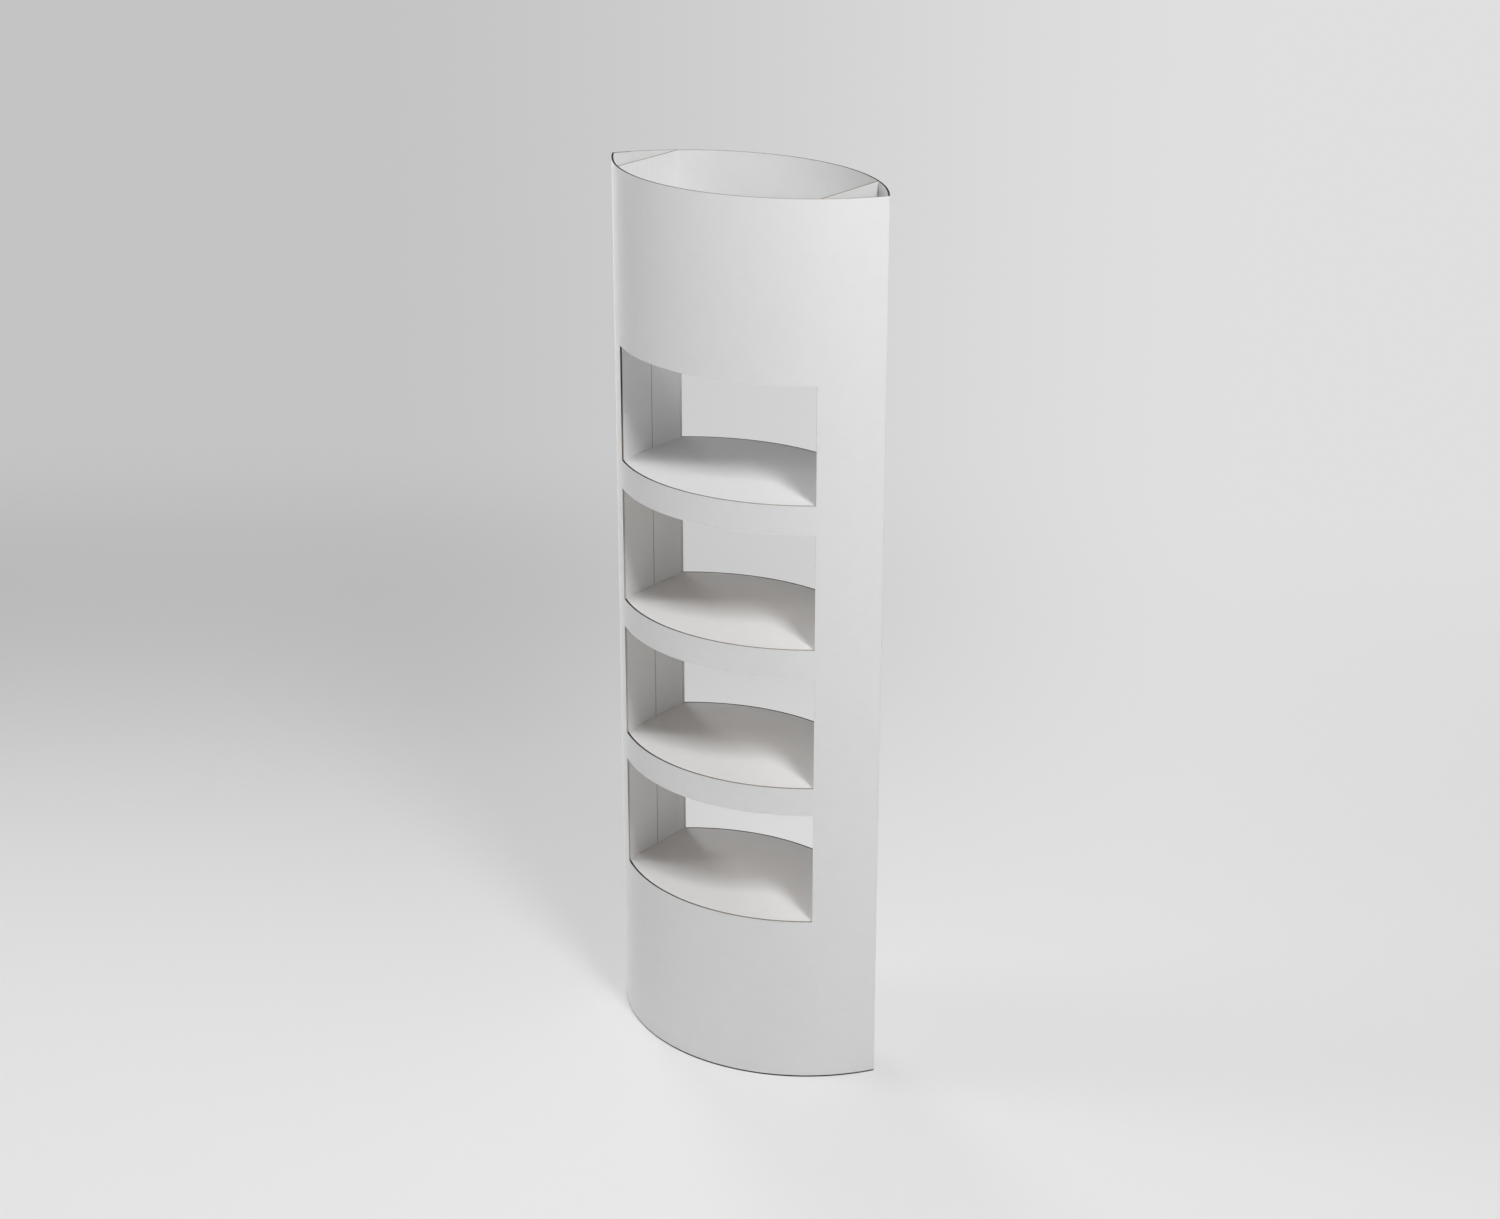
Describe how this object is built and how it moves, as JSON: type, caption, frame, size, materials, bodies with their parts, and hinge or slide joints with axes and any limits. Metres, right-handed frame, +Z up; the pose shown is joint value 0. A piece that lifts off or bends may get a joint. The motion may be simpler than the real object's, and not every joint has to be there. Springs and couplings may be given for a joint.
{
  "type": "cardboard display stand",
  "caption": "Tall free-standing display stand of white cardboard, lens-shaped in plan, with see-through windows, flat shelves, two full-height dividers and an open top.",
  "frame": {"origin": "on the floor, under the middle of the lens-shaped plan", "axes": "+X from tip to tip, -Y towards the front wall, +Z up"},
  "size_m": [0.5516, 0.302, 1.55],
  "materials": {
    "white_lined_board": "matt white paper liner, raw brown fluted edges where the board is cut, and pale brown unbleached paper on the undersides of the shelves"
  },
  "bodies": {
    "root": {"outer_wrap": "white_lined_board", "left_divider": "white_lined_board", "right_divider": "white_lined_board", "shelf_1": "white_lined_board", "shelf_2": "white_lined_board", "shelf_3": "white_lined_board", "shelf_4": "white_lined_board"}
  },
  "joints": []
}
